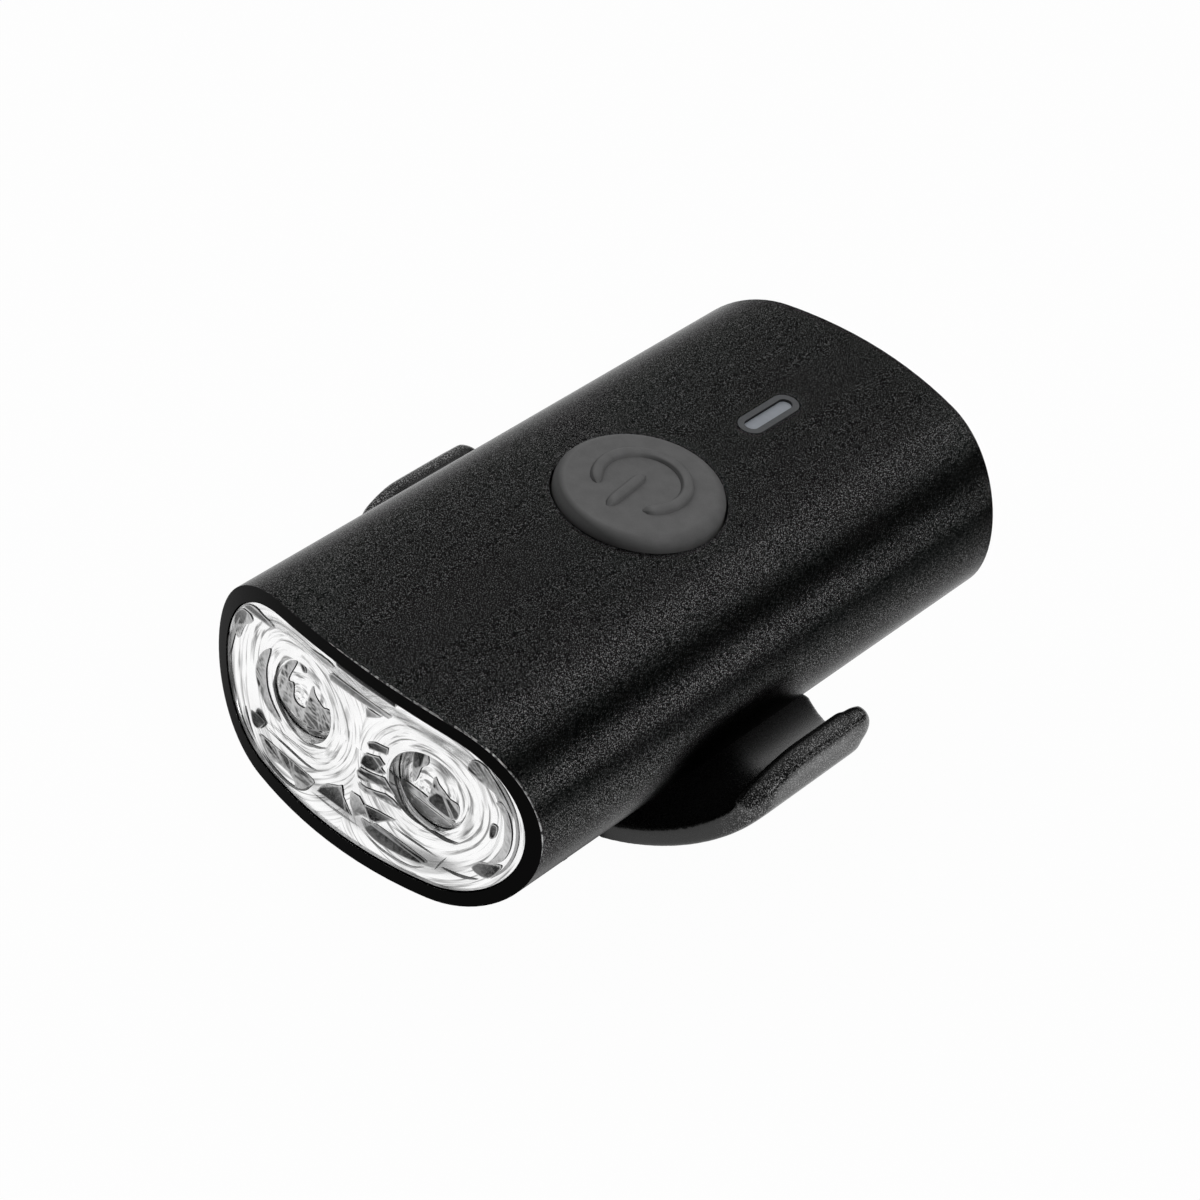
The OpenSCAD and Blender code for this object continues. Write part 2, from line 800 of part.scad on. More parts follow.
module bracket() {
    color("#17181a") at_body() translate([0, bracket_y, 0]) difference() {
        union() {
            intersection() {
                along(-plate_l, plate_l) bracket_section();
                translate([0, 0, plate_bottom - plate_t]) linear_extrude(body_h) bracket_plan();
            }
            translate([-block_w / 2, -block_l / 2, plate_bottom + plate_t / 2])
                cube([block_w, block_l, seat_z - plate_bottom - plate_t / 2]);
        }
        rotate([90, 0, 90]) translate([0, 0, -body_w]) linear_extrude(2 * body_w) shoulder_cut();
        for (s = [-1, 1]) translate([0, s * bracket_screw_pitch / 2, plate_bottom]) {
            cylinder(d = bracket_screw_d + 2 * screw_clear, h = body_h);
            cylinder(r = screw_head_r + screw_clear, h = screw_head_h + screw_clear);
        }
        for (s = [-1, 1]) translate([s * peg_pitch / 2, 0, plate_bottom])
            cylinder(d = peg_d + 2 * peg_fit, h = peg_h + peg_fit);
    }
}

module bracket_screws() {
    tip = -inner_h + boss_h - screw_clear;
    socket_r = bracket_screw_d * hex_share;
    color("#8d9095") at_body() for (s = [-1, 1])
        translate([0, bracket_y + s * bracket_screw_pitch / 2, plate_bottom + screw_clear]) difference() {
            union() {
                cylinder(r = screw_head_r, h = screw_head_h);
                cylinder(d = bracket_screw_d, h = tip - plate_bottom - screw_clear);
            }
            cylinder(r = socket_r, h = screw_head_h / 2, $fn = 6);
        }
}

// Outline of the pad from the side, with the bar's hollow and rounded lips
module pad_side() {
    difference() {
        union() {
            translate([-pad_half_l, pad_bottom + pad_round])
                square([2 * pad_half_l, pad_h - pad_round]);
            for (s = [-1, 1]) translate([s * (pad_half_l - pad_round), pad_bottom + pad_round])
                circle(pad_round);
            translate([-pad_half_l + pad_round, pad_bottom])
                square([2 * (pad_half_l - pad_round), pad_h]);
        }
        translate([0, bar_z]) circle(bar_r);
    }
}

module saddle_pad() {
    color("#1f1f20") at_body() translate([0, bracket_y, 0]) {
        rotate([90, 0, 90]) translate([0, 0, -pad_w / 2]) linear_extrude(pad_w) pad_side();
        translate([-pad_flange_w / 2, -pad_half_l, plate_bottom - pad_flange_t])
            cube([pad_flange_w, 2 * pad_half_l, pad_flange_t]);
        for (s = [-1, 1]) translate([s * peg_pitch / 2, 0, plate_bottom])
            cylinder(d = peg_d, h = peg_h);
    }
}

housing();
lens_cover();
lens_gasket();
left_collimator();
right_collimator();
optic_tray();
leds();
led_board();
heat_sink();
chassis();
battery();
main_board();
board_parts();
switch_body();
switch_stem();
power_button();
indicator_frame();
indicator_window();
indicator_leds();
usb_socket();
rear_cap();
rear_gasket();
rear_screws();
usb_cover();
bracket();
bracket_screws();
saddle_pad();
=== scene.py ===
import math

import bpy
from mathutils import Matrix, Vector, geometry


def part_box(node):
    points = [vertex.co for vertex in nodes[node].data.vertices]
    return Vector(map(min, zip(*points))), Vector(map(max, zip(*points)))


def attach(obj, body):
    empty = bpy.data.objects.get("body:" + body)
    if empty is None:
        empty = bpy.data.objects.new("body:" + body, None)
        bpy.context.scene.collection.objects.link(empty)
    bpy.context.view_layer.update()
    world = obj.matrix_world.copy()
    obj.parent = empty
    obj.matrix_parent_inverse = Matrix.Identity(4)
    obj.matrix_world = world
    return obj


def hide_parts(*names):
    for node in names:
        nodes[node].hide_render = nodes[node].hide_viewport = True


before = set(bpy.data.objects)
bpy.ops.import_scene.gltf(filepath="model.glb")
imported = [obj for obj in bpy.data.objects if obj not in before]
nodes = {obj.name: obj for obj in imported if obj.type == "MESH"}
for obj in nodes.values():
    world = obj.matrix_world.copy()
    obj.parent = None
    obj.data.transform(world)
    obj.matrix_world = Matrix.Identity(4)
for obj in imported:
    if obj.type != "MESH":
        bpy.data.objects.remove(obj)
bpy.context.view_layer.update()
mm = 0.001
scene = bpy.context.scene
print("frame loaded:", len(nodes), "nodes")

# middle of the light's body; the small sizes below are millimetres from there
bodyLow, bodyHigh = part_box("housing")
bodyMid = (bodyLow + bodyHigh) / 2


def at(x, y, z):
    return Vector((x * mm, y * mm, z * mm)) + bodyMid


# mesh pieces

def piece(name, points, faces, look, body="light", smooth=True):
    mesh = bpy.data.meshes.new(name)
    mesh.from_pydata([at(*p) for p in points], [], faces)
    mesh.materials.append(look)
    mesh.polygons.foreach_set("use_smooth", [smooth] * len(mesh.polygons))
    mesh.update()
    made = bpy.data.objects.new(name, mesh)
    scene.collection.objects.link(made)
    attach(made, body)
    return made


def weave(rows, turns, first=0):
    # faces between closed rings of points, turns to a ring
    faces = []
    for i in range(rows):
        for j in range(turns):
            k, m = first + i * turns, (j + 1) % turns
            faces.append((k + j, k + m, k + turns + m, k + turns + j))
    return faces


def loop(points):
    # closed smooth curve through the points, three steps to a side
    count = len(points)
    drawn = []
    for i in range(count):
        a, b, c, d = (Vector(points[(i + k) % count]) for k in (-1, 0, 1, 2))
        for t in (0, 1 / 3, 2 / 3):
            drawn.append(b + 0.5 * t * (c - a + t * (2 * a - 5 * b + 4 * c - d + t * (3 * b - 3 * c + d - a))))
    return drawn


def inside(p, ring):
    hit = False
    for a, b in zip(ring, ring[1:] + ring[:1]):
        if (a[1] > p[1]) != (b[1] > p[1]) and p[0] < a[0] + (b[0] - a[0]) * (p[1] - a[1]) / (b[1] - a[1]):
            hit = not hit
    return hit


def fill(ring, holes=(), step=1.0):
    # triangles that fill a flat ring, less its holes
    ring = [Vector(p) for p in ring]
    holes = [[Vector(p) for p in hole] for hole in holes]
    spots, edges = [], []
    for line in [ring, *holes]:
        first = len(spots)
        spots += line
        edges += [(first + i, first + (i + 1) % len(line)) for i in range(len(line))]
    low = Vector((min(p.x for p in ring), min(p.y for p in ring)))
    high = Vector((max(p.x for p in ring), max(p.y for p in ring)))
    for i in range(1, int((high.x - low.x) / step) + 1):
        for j in range(1, int((high.y - low.y) / step) + 1):
            p = low + Vector((i * step, j * step))
            if inside(p, ring) and not any(inside(p, hole) for hole in holes):
                spots.append(p)
    flat, _, faces, *_ = geometry.delaunay_2d_cdt(spots, edges, [], 0, 1e-6)
    kept = []
    for face in faces:
        middle = sum((flat[i] for i in face), Vector((0, 0))) / len(face)
        if inside(middle, ring) and not any(inside(middle, hole) for hole in holes):
            kept.append(face)
    return flat, kept


# camera, in degrees and millimetres from the body's middle
view = {"azimuth": 33.60, "elevation": 39.46, "roll": 11.26, "lens": 120.24, "place": (171.268, -260.337, 254.117)}


# shader sockets

def rgba(tone):
    return (tone, tone, tone, 1) if isinstance(tone, (int, float)) else (*tone, 1)


class Wire:
    # one socket of a node tree; arithmetic on it adds Math nodes
    def __init__(self, tree, socket=None):
        self.tree = tree
        self.socket = socket

    def node(self, kind, settings=None, sockets=None, out=0):
        made = self.tree.nodes.new(kind)
        for key, value in (settings or {}).items():
            if key == "stops":
                ramp = made.color_ramp
                while len(ramp.elements) < len(value):
                    ramp.elements.new(0.5)
                for element, (place, tone) in zip(ramp.elements, value):
                    element.position = place
                    element.color = rgba(tone)
            else:
                setattr(made, key, value)
        for key, value in (sockets or {}).items():
            if isinstance(value, Wire):
                self.tree.links.new(value.socket, made.inputs[key])
            else:
                made.inputs[key].default_value = value
        return Wire(self.tree, made.outputs[out]) if made.outputs else None

    def math(self, operation, a, b):
        return self.node("ShaderNodeMath", {"operation": operation}, {0: a, 1: b})

    def __add__(self, other):
        return self.math("ADD", self, other)

    def __radd__(self, other):
        return self.math("ADD", other, self)

    def __sub__(self, other):
        return self.math("SUBTRACT", self, other)

    def __rsub__(self, other):
        return self.math("SUBTRACT", other, self)

    def __mul__(self, other):
        if isinstance(other, Vector):
            return self.node("ShaderNodeVectorMath", {"operation": "MULTIPLY"}, {0: self, 1: other})
        return self.math("MULTIPLY", self, other)

    def __rmul__(self, other):
        return self.math("MULTIPLY", other, self)

    def over(self, edge):
        return self.math("GREATER_THAN", self, edge)

    def ramp(self, stops):
        return self.node("ShaderNodeValToRGB", {"stops": stops}, {0: self})

    def mix(self, low, high):
        ends = {k: tone if isinstance(tone, Wire) else rgba(tone) for k, tone in ((6, low), (7, high))}
        return self.node("ShaderNodeMix", {"data_type": "RGBA"}, {"Factor": self, **ends}, out=2)


def finish(name, paint, **fixed):
    # a Principled finish: paint gets the tree and returns the sockets that vary
    made = bpy.data.materials.new(name)
    made.use_nodes = True
    tree = made.node_tree
    tree.nodes.clear()
    start = Wire(tree)
    place = start.node("ShaderNodeTexCoord", out=3)
    varying = paint(start, place)
    names = {key.replace("_", " "): value for key, value in {**fixed, **varying}.items()}
    shader = start.node("ShaderNodeBsdfPrincipled", None, names)
    start.node("ShaderNodeOutputMaterial", None, {"Surface": shader})
    return made


def grain(start, place, size, detail=2.0, stretch=(1, 1, 1)):
    spot = start.node("ShaderNodeMapping", None, {"Vector": place, "Scale": stretch})
    return start.node("ShaderNodeTexNoise", None, {"Vector": spot, "Scale": 1 / (size * mm), "Detail": detail})


def bump(start, height, strength, depth):
    return start.node("ShaderNodeBump", None, {"Height": height, "Strength": strength, "Distance": depth * mm})


# finishes

blastedBlack = {"grain": 0.14, "speck": 0.11, "dark": 0.003, "light": 0.25, "rough": 0.15, "rim": 0.003}


def paintBlasted(start, place):
    look = blastedBlack
    coarse = grain(start, place, look["grain"], 2)
    speck = grain(start, place, look["speck"], 1)
    facing = start.node("ShaderNodeNewGeometry", out=1)
    ahead = start.node("ShaderNodeSeparateXYZ", None, {0: facing}, out=1)
    # the front rim is turned smooth and left darker
    rim = (0 - ahead).ramp([(0.6, 0.0), (0.75, 1.0)])
    blast = speck.ramp([(0.5, 0.0), (0.72, 1.0)]) * (1 - rim)
    tone = blast.mix(look["dark"], look["light"])
    tone = rim.mix(tone, look["rim"])
    return {"Base Color": tone, "Roughness": look["rough"] + 0.12 * coarse,
            "Normal": bump(start, (coarse + 0.6 * speck) * (1 - 0.85 * rim), 0.35, 0.05)}


mouldedBlack = {"grain": 0.14, "dark": 0.002, "light": 0.02, "wornSheen": 0.45, "rubbedSheenFrom": 23.5, "sheenMetallic": 0.35,
                "rough": 0.18}


def paintMoulded(start, place):
    look = mouldedBlack
    fine = grain(start, place, look["grain"], 1)
    speck = fine.ramp([(0.5, 0.0), (0.72, 1.0)])
    # the hooks' tops and outer faces are rubbed, and the same mask paints a sheen on them, lighter and shinier as if
    # lit
    across = start.node("ShaderNodeSeparateXYZ", None, {0: place})
    facing = start.node("ShaderNodeSeparateXYZ", None, {0: start.node("ShaderNodeNewGeometry", out=1)})
    aside = start.math("ABSOLUTE", across, 0)
    rubbedSheen = (aside * 100 - (look["rubbedSheenFrom"] * 0.1 - 0.5)).ramp([(0.5, 0.0), (0.8, 1.0)])
    rubbedSheen = rubbedSheen * (across * facing * 40 + 0.5).ramp([(0.3, 0.0), (0.55, 1.0)])
    light = rubbedSheen.mix(look["light"], look["wornSheen"])
    return {"Base Color": speck.mix(look["dark"], light), "Metallic": look["sheenMetallic"] * rubbedSheen,
            "Roughness": look["rough"] + 0.2 * fine, "Normal": bump(start, fine, 0.3, 0.03)}


softGrey = {"grain": 0.16, "cloud": 1.5, "front": (-0.5, -0.85, 0), "dark": 0.11, "light": 0.22,
            "paintedShade": 0.045, "rough": 0.6}


def paintSoft(start, place):
    look = softGrey
    fine = grain(start, place, look["grain"], 2)
    cloud = grain(start, place, look["cloud"], 3)
    facing = start.node("ShaderNodeNewGeometry", out=1)
    ahead = start.node("ShaderNodeVectorMath", {"operation": "DOT_PRODUCT"}, {0: facing, 1: look["front"]}, out=1)
    # walls turned to the front get a painted shade, darker as if turned from the light
    paintedShade = ahead.ramp([(0.12, 0.0), (0.6, 1.0)])
    tone = (0.6 * cloud + 0.4 * fine).mix(look["dark"], look["light"])
    return {"Base Color": paintedShade.mix(tone, look["paintedShade"]), "Roughness": look["rough"] + 0.2 * fine,
            "Normal": bump(start, fine, 0.5, 0.03)}


def plainPaint(dark, light, rough, size, strength=0.2):
    def paint(start, place):
        fine = grain(start, place, size, 2)
        return {"Base Color": fine.mix(dark, light), "Roughness": rough + 0.12 * fine,
                "Normal": bump(start, fine, strength, 0.02)}
    return paint


ringGrey = {"grain": 0.3, "dark": (0.075, 0.08, 0.085), "light": (0.13, 0.135, 0.14), "wall": 0.015, "rough": 0.45}


def paintFrameShadedWalls(start, place):
    look = ringGrey
    fine = grain(start, place, look["grain"], 2)
    facing = start.node("ShaderNodeNewGeometry", out=1)
    # walls that turn from the top get a painted shade
    wall = (1 - start.node("ShaderNodeSeparateXYZ", None, {0: facing}, out=2)).ramp([(0.25, 0.0), (0.6, 1.0)])
    tone = fine.mix(look["dark"], look["light"])
    return {"Base Color": wall.mix(tone, look["wall"]), "Roughness": look["rough"] + 0.12 * fine,
            "Normal": bump(start, fine, 0.3, 0.02)}


bodyBlack = finish("blastedBlack", paintBlasted, Metallic=1.0, Specular_Tint=(0.6, 0.6, 0.6, 1))
bracketBlack = finish("mouldedBlack", paintMoulded)
buttonGrey = finish("softGrey", paintSoft)
padRubber = finish("padRubber", plainPaint(0.01, 0.022, 0.7, 0.3, 0.4))
sealRubber = finish("sealRubber", plainPaint(0.008, 0.016, 0.6, 0.3))
capBlack = finish("capBlack", plainPaint(0.012, 0.026, 0.5, 0.25, 0.35))
frameGrey = finish("frameGrey", paintFrameShadedWalls)
windowGrey = finish("windowGrey", plainPaint((0.37, 0.4, 0.44), (0.45, 0.48, 0.53), 0.35, 0.8))
screwSteel = finish("screwSteel", plainPaint(0.35, 0.45, 0.3, 0.2), Metallic=1.0)
portMetal = finish("portMetal", plainPaint(0.5, 0.6, 0.3, 0.3), Metallic=1.0)
sinkMetal = finish("sinkMetal", plainPaint(0.55, 0.7, 0.35, 0.2, 0.3), Metallic=1.0)
innerPlastic = finish("innerPlastic", plainPaint(0.02, 0.035, 0.55, 0.3))
batteryWrap = finish("batteryWrap", plainPaint((0.03, 0.12, 0.24), (0.04, 0.15, 0.29), 0.35, 1.2))
boardGreen = finish("boardGreen", plainPaint((0.01, 0.09, 0.03), (0.02, 0.13, 0.05), 0.4, 0.6))
boardWhite = finish("boardWhite", plainPaint(0.65, 0.78, 0.5, 0.5))
chipBlack = finish("chipBlack", plainPaint(0.015, 0.03, 0.45, 0.3))
stemPlastic = finish("stemPlastic", plainPaint((0.62, 0.58, 0.48), (0.7, 0.66, 0.56), 0.5, 0.4))
ledYellow = finish("ledYellow", plainPaint((0.7, 0.52, 0.08), (0.82, 0.64, 0.14), 0.3, 0.4))

dress = {
    "housing": bodyBlack, "bracket": bracketBlack, "power_button": buttonGrey, "saddle_pad": padRubber,
    "rear_gasket": sealRubber, "lens_gasket": sealRubber, "rear_cap": capBlack, "usb_cover": padRubber,
    "indicator_frame": frameGrey, "indicator_window": windowGrey, "rear_screws": screwSteel,
    "bracket_screws": screwSteel, "usb_socket": portMetal, "heat_sink": sinkMetal, "chassis": innerPlastic,
    "battery": batteryWrap, "main_board": boardGreen, "led_board": boardWhite, "board_parts": chipBlack,
    "switch_body": chipBlack, "switch_stem": stemPlastic, "leds": ledYellow, "indicator_leds": ledYellow,
}
for name, look in dress.items():
    nodes[name].data.materials.clear()
    nodes[name].data.materials.append(look)


def soften(obj, cell, turns):
    # rounds a moulded part's edges
    mesh = obj.modifiers.new("cells", "REMESH")
    mesh.mode, mesh.voxel_size, mesh.use_smooth_shade = "VOXEL", cell * mm, True
    ease = obj.modifiers.new("ease", "SMOOTH")
    ease.factor, ease.iterations = 0.5, turns


print("finishes on the frame's nodes")

# bracket: the frame's own mesh, with round hook ends and tops grown onto it
hook = {"x": 26.4, "thick": 2.6, "end": (6.3, -4.5), "endR": 2.3, "bars": ((26.45, 1.25), (25.85, 0.85)),
        "crown": -2.1, "from": -2.3, "shoulder": 9.3, "turn": 55, "inward": 0.03, "curlFrom": -4.0,
        "tip": (0.8, -1.2), "tipDrop": 0.7, "tipSize": 0.3, "steps": 16, "sides": 24, "voxel": 0.17, "ease": 60}


def turned(profile, centre, turns=40):
    # a profile of (radius, x) steps turned about an axis along x
    points = []
    for reach, x in profile:
        for j in range(turns):
            a = 2 * math.pi * j / turns
            points.append((centre[0] + x, centre[1] + reach * math.cos(a), centre[2] + reach * math.sin(a)))
    ends = [tuple(range(turns))[::-1], tuple(range(len(points) - turns, len(points)))]
    return points, weave(len(profile) - 1, turns) + ends


def makeBracket():
    base = nodes["bracket"].data
    points = [(v.co - bodyMid) / mm for v in base.vertices]
    faces = [tuple(p.vertices) for p in base.polygons]
    half = hook["thick"] / 2
    puck = [(hook["endR"] - half + half * math.sin(a), -half * math.cos(a)) for a in
            (math.pi * i / 12 for i in range(13))]
    for side in (-1, 1):
        more, skin = turned(puck, (side * hook["x"], *hook["end"]))
        faces += [tuple(i + len(points) for i in face) for face in skin]
        points += more
        # round bars along the hook's top, down over its front shoulder
        for middle, radius in hook["bars"]:
            first, steps, sides = len(points), hook["steps"], hook["sides"]
            sweep = hook["shoulder"] - radius
            for i in range(steps + 1):
                a = math.radians(hook["turn"]) * max(i - 2, 0) / (steps - 2)
                y = hook["end"][0] + hook["tip"][i] if i < 2 else hook["from"] - sweep * math.sin(a)
                z = hook["crown"] - radius - sweep * (1 - math.cos(a)) - (hook["tipDrop"] if i == 0 else 0)
                x = middle - hook["inward"] * min(y - hook["curlFrom"], 0) ** 2
                wide = radius * (hook["tipSize"] if i == 0 else 1)
                for j in range(sides):
                    b = 2 * math.pi * j / sides
                    rise = wide * math.sin(b)
                    points.append((side * (x + wide * math.cos(b)), y - rise * math.sin(a), z + rise * math.cos(a)))
            faces += [face[::side] for face in weave(steps, sides, first)]
            last = first + steps * sides
            faces.append(tuple(first + j for j in range(sides))[::-side])
            faces.append(tuple(last + j for j in range(sides))[::side])
    made = piece("bracketShell", points, faces, bracketBlack)
    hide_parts("bracket")
    soften(made, hook["voxel"], hook["ease"])


makeBracket()
print("bracket made")

# lens: cover, bright tray with two domes, and the painted reflections, highlights and shade seen in it

tube = {"sideX": 10.0, "sideR": 11.0, "crownR": 111.25, "crownDrop": 99.75}
bow = {"axis": 15.0, "bore": -1.74, "cover": 54.42, "lip": 54.2, "tray": 52.9, "flare": 4.0}
domes = {"x": 8.15, "ball": 8.0, "rim": 4.25, "top": -37.5, "hole": 4.35, "floor": -36.1,
         "rows": 14, "turns": 64}


def arc(middle, radius, start, stop, steps):
    turn = [start + (stop - start) * i / steps for i in range(steps)]
    return [(middle[0] + radius * math.cos(a), middle[1] + radius * math.sin(a)) for a in turn]


def oval(grow):
    # section of the tube, grown, in x and z
    lean = math.atan2(tube["sideX"], tube["crownDrop"])
    quarter = math.pi / 2
    side, crown = tube["sideR"] + grow, tube["crownR"] + grow
    return (arc((tube["sideX"], 0), side, lean - quarter, quarter - lean, 40)
            + arc((0, -tube["crownDrop"]), crown, quarter - lean, quarter + lean, 16)
            + arc((-tube["sideX"], 0), side, quarter + lean, 3 * quarter - lean, 40)
            + arc((0, tube["crownDrop"]), crown, 3 * quarter - lean, 3 * quarter + lean, 16))


def onBow(x, z, radius):
    return x, bow["axis"] - math.sqrt(radius * radius - x * x), z


def trayRadius(x, z):
    # the tray is a shallow dish that rises to the cover at its edge
    x, z = abs(x), abs(z)
    if x * tube["crownDrop"] < tube["sideX"] * (z + tube["crownDrop"]):
        gap = tube["crownR"] + bow["bore"] - math.hypot(x, z + tube["crownDrop"])
    else:
        gap = tube["sideR"] + bow["bore"] - math.hypot(x - tube["sideX"], z)
    t = min(max(1 - gap / bow["flare"], 0), 1)
    return bow["tray"] + (bow["lip"] - bow["tray"]) * t * t * (3 - 2 * t)


def onTray(x, z):
    return onBow(x, z, trayRadius(x, z))


def skirt(ring, near, far):
    # wall between two bent copies of one ring
    count = len(ring)
    points = [near(x, z) for x, z in ring] + [far(x, z) for x, z in ring]
    return points, weave(1, count)


# outlines are drawn on a flat sheet across the front and dropped along the camera's view
sheetY = -37.5
lift = 0.1


def hit(ray, centre, radius, upright=False):
    # where the view meets a ball, or an upright cylinder
    gap = Vector(view["place"]) - Vector(centre)
    if upright:
        ray, gap = Vector((ray.x, ray.y, 0)), Vector((gap.x, gap.y, 0))
    a, b, c = ray.dot(ray), ray.dot(gap), gap.dot(gap) - radius * radius
    return (-b - math.sqrt(max(b * b - a * c, 0))) / a


def drop(x, z, side=None):
    # onto the tray, or onto the dome on one side
    eye = Vector(view["place"])
    ray = Vector((x, sheetY, z)) - eye
    if side:
        middle = domes["x"] if side == "right" else -domes["x"]
        return eye + ray * hit(ray, (middle, domes["top"] + domes["ball"], 0), domes["ball"] + lift)
    spot = Vector((x, sheetY, z))
    for turn in range(8):
        spot = eye + ray * hit(ray, (0, bow["axis"], 0), trayRadius(spot.x, spot.z) + lift, True)
    return spot


def aboutLens(start, place):
    # distance from the nearer lens's axis and the turn about it
    axes = start.node("ShaderNodeSeparateXYZ", None, {0: place})
    up = Wire(start.tree, axes.socket.node.outputs[2]) - bodyMid.z
    aside = start.math("ABSOLUTE", axes, 0) - domes["x"] * mm
    far = start.math("SQRT", aside * aside + up * up, 0)
    turn = start.math("ARCTAN2", up, aside)
    return far, turn, axes.over(0)


# steps of the streaks outward, around and from lens to lens
streaks = {"fine": (2600.0, 1.3, 9.0), "broad": (800.0, 1.0, 5.0)}


def paintChrome(start, place):
    # white plating with fine streaks turned about each lens
    far, turn, side = aboutLens(start, place)
    out, around, apart = streaks["fine"]
    spot = start.node("ShaderNodeCombineXYZ", None, {0: far * out, 1: turn * around, 2: side * apart})
    fine = start.node("ShaderNodeTexNoise", None, {"Vector": spot, "Scale": 1.0, "Detail": 3.0, "Distortion": 0.4})
    out, around, apart = streaks["broad"]
    spot = start.node("ShaderNodeCombineXYZ", None, {0: far * out, 1: turn * around, 2: side * apart})
    broad = start.node("ShaderNodeTexNoise", None, {"Vector": spot, "Scale": 1.0, "Detail": 2.0, "Distortion": 0.6})
    line = fine.ramp([(0.34, 0.3), (0.44, 0.85), (0.5, 1.0)])
    band = broad.ramp([(0.3, 0.55), (0.42, 1.0)])
    return {"Base Color": (line * band).mix(0, 1), "Roughness": 0.14 + 0.1 * broad,
            "Normal": bump(start, fine, 0.08, 0.05)}


def paintCoverWall(start, place):
    cloud = start.node("ShaderNodeTexNoise", None, {"Vector": place, "Scale": 260.0, "Detail": 2.0})
    return {"Base Color": cloud.mix(0.5, 0.9), "Roughness": 0.2 + 0.2 * cloud}


def paintWell(start, place):
    swirl = start.node("ShaderNodeTexNoise", None, {"Vector": place, "Scale": 500.0, "Detail": 2.0, "Distortion": 1.0})
    return {"Base Color": swirl.mix(0.25, 0.95), "Roughness": 0.1 + 0.1 * swirl}


chrome = finish("swirledChrome", paintChrome, Metallic=1.0)
coverWall = finish("coverWall", paintCoverWall, Metallic=1.0)
wellChrome = finish("wellChrome", paintWell, Metallic=1.0)


def clearCover(name, gloss):
    made = bpy.data.materials.new(name)
    made.use_nodes = True
    made.node_tree.nodes.clear()
    start = Wire(made.node_tree)
    edge = start.node("ShaderNodeFresnel", None, {"IOR": 1.45})
    through = start.node("ShaderNodeBsdfTransparent", None, {"Color": (1, 1, 1, 1)})
    shine = start.node("ShaderNodeBsdfGlossy", None, {"Color": (1, 1, 1, 1), "Roughness": 0.04})
    both = start.node("ShaderNodeMixShader", None, {0: edge * gloss, 1: through, 2: shine})
    start.node("ShaderNodeOutputMaterial", None, {"Surface": both})
    return made


def makeCover():
    ring = oval(bow["bore"])
    flat, faces = fill(ring, step=2.0)
    cover = piece("clearCover", [onBow(p.x, p.y, bow["cover"]) for p in flat], faces, clearCover("clearCover", 0.1))
    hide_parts("lens_cover")
    wall = piece("coverWall", *skirt(ring, lambda x, z: onBow(x, z, bow["cover"]), onTray), coverWall)


def makeTray():
    holes = [arc((s * domes["x"], 0), domes["hole"], 0, 2 * math.pi, domes["turns"]) for s in (-1, 1)]
    flat, faces = fill(oval(bow["bore"]), holes, 0.4)
    tray = piece("brightTray", [onTray(p.x, p.y) for p in flat], faces, chrome)
    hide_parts("optic_tray")
    for side, hole in zip(("left", "right"), holes):
        x = -domes["x"] if side == "left" else domes["x"]
        wall = piece(side + "Well", *skirt(hole, onTray, lambda a, b: (a, domes["floor"], b)), wellChrome)
        bottom, tris = fill(hole, step=2.0)
        base = piece(side + "WellFloor", [(p.x, domes["floor"], p.y) for p in bottom], tris, wellChrome)
        points = []
        rows, turns = domes["rows"], domes["turns"]
        widest = math.asin(domes["rim"] / domes["ball"])
        for i in range(rows + 1):
            lean = widest * i / rows
            for j in range(turns):
                a = 2 * math.pi * j / turns
                reach = domes["ball"] * math.sin(lean)
                points.append((x + reach * math.cos(a), domes["top"] + domes["ball"] * (1 - math.cos(lean)),
                               reach * math.sin(a)))
        dome = piece(side + "Dome", points, weave(rows, turns), chrome)
        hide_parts(side + "_collimator")


# tones of the painted patches are as displayed
displayPower = 2.2


def paintedPatchLook(name, dark, light, lean):
    # a painted reflection tone that pales towards one side as if lit there, mottled, with a painted bright fringe
    def paint(start, place):
        spread = start.node("ShaderNodeTexCoord", out=0)
        axes = spread.node("ShaderNodeSeparateXYZ", None, {0: spread})
        upward = Wire(axes.tree, axes.socket.node.outputs[2])
        along = (axes - 0.5) * math.cos(lean) + (upward - 0.5) * math.sin(lean) + 0.5
        swirl = start.node("ShaderNodeTexNoise", None,
                           {"Vector": place, "Scale": 1500.0, "Detail": 4.0, "Distortion": 1.2})
        inner = start.node("ShaderNodeAttribute", {"attribute_name": "inner"}, out=2)
        shade = (along + 1.6 * (swirl - 0.5)).ramp([(0.15, 0.0), (0.9, 1.0)])
        tone = shade.mix(dark ** displayPower, light ** displayPower)
        fringe = inner.ramp([(0.0, 0.7), (0.5, 0.0)])
        return {"Base Color": fringe.mix(tone, 0.8), "Roughness": 0.22 + 0.2 * swirl}
    return finish(name, paint, Metallic=1.0)
